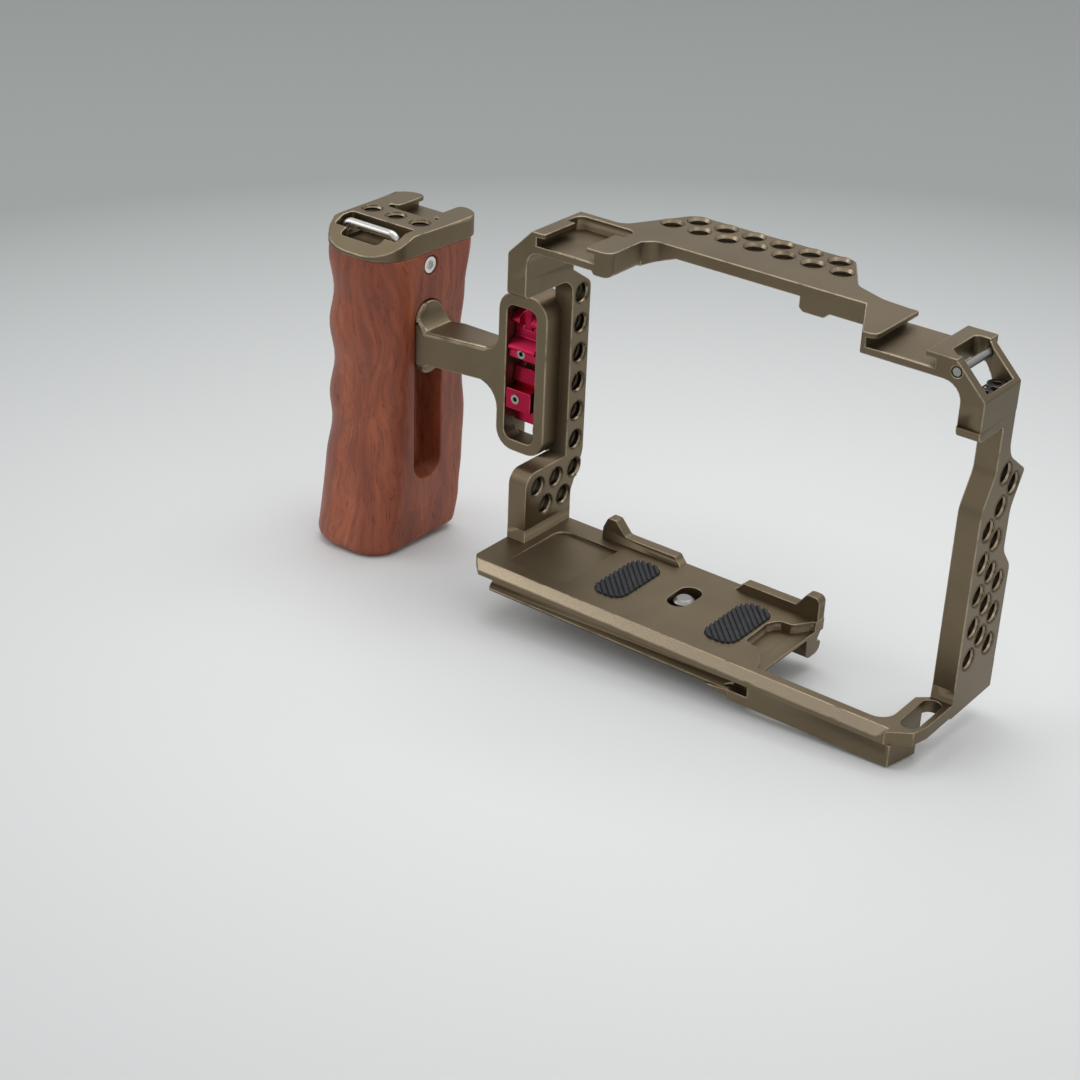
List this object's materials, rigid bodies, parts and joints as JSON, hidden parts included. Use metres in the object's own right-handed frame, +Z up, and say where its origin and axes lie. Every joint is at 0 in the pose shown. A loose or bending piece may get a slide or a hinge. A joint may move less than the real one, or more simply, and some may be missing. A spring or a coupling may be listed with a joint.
{
  "type": "camera cage with side handle",
  "caption": "Machined camera cage with accessory threads, cold shoes, a captive camera screw, cable clamps and a wooden side handle that slides on its arm.",
  "frame": {"origin": "axis of the camera screw, on the face that the camera stands on", "axes": "+X towards the grip side (right as seen by the operator), +Y towards the lens side, +Z up"},
  "size_m": [0.2154, 0.0563, 0.1167],
  "materials": {
    "bronze": "bead-blasted bronze anodising",
    "red": "red anodising",
    "steel": "bright",
    "wood": "oiled rosewood",
    "rubber": "ribbed, matt"
  },
  "bodies": {
    "cage": {"base_plate": "bronze", "rubber_pads": "rubber", "left_post": "bronze", "right_post": "bronze", "top_frame": "bronze", "base_screws_left": "steel", "base_screws_right": "steel", "top_screws_left": "steel", "top_screws_right": "steel", "strap_pin": "steel", "side_arm": "bronze", "arm_bolts": "steel", "clamp_rail": "bronze", "rail_screws": "steel", "bolt_plate": "steel"},
    "handle": {"handle_grip": "wood", "handle_cap": "bronze", "cap_screws": "steel", "cap_strap_bar": "steel"},
    "screw_carriage": {"screw_washer": "steel"},
    "screw_lift": {"screw_clip": "steel"},
    "screw": {"camera_screw": "steel"},
    "upper_clamp": {"upper_jaw": "red"},
    "upper_clamp_screw": {"upper_jaw_screw": "steel"},
    "lower_clamp": {"lower_jaw": "red", "lower_block": "red"},
    "lower_clamp_screw": {"lower_jaw_screw": "steel"},
    "upper_bolt": {"upper_handle_bolt": "steel"},
    "lower_bolt": {"lower_handle_bolt": "steel"}
  },
  "joints": [
    {"name": "handle_height", "type": "slide", "parent": "cage", "child": "handle", "axis": [0, 0, 1], "range_m": [0, 0.0346]},
    {"name": "upper_bolt_turn", "type": "hinge", "parent": "cage", "child": "upper_bolt", "pos_m": [-0.1155, 0.0089, 0.0512], "axis": [1, 0, 0], "continuous": true},
    {"name": "lower_bolt_turn", "type": "hinge", "parent": "cage", "child": "lower_bolt", "pos_m": [-0.1155, 0.0089, 0.0404], "axis": [1, 0, 0], "continuous": true},
    {"name": "screw_position", "type": "slide", "parent": "cage", "child": "screw_carriage", "axis": [0, 1, 0], "range_m": [-0.0027, 0.0027]},
    {"name": "screw_rise", "type": "slide", "parent": "screw_carriage", "child": "screw_lift", "axis": [0, 0, 1], "range_m": [0, 0.004]},
    {"name": "screw_turn", "type": "hinge", "parent": "screw_lift", "child": "screw", "pos_m": [0, 0, 0], "axis": [0, 0, 1], "continuous": true},
    {"name": "upper_clamp_height", "type": "slide", "parent": "cage", "child": "upper_clamp", "axis": [0, 0, 1], "range_m": [-0.0016, 0.0006]},
    {"name": "upper_clamp_screw_turn", "type": "hinge", "parent": "upper_clamp", "child": "upper_clamp_screw", "pos_m": [-0.0656, 0.01, 0.0505], "axis": [0, 1, 0], "continuous": true},
    {"name": "lower_clamp_height", "type": "slide", "parent": "cage", "child": "lower_clamp", "axis": [0, 0, 1], "range_m": [-0.0026, 0.0016]},
    {"name": "lower_clamp_screw_turn", "type": "hinge", "parent": "lower_clamp", "child": "lower_clamp_screw", "pos_m": [-0.0663, 0.01, 0.0367], "axis": [0, 1, 0], "continuous": true}
  ]
}
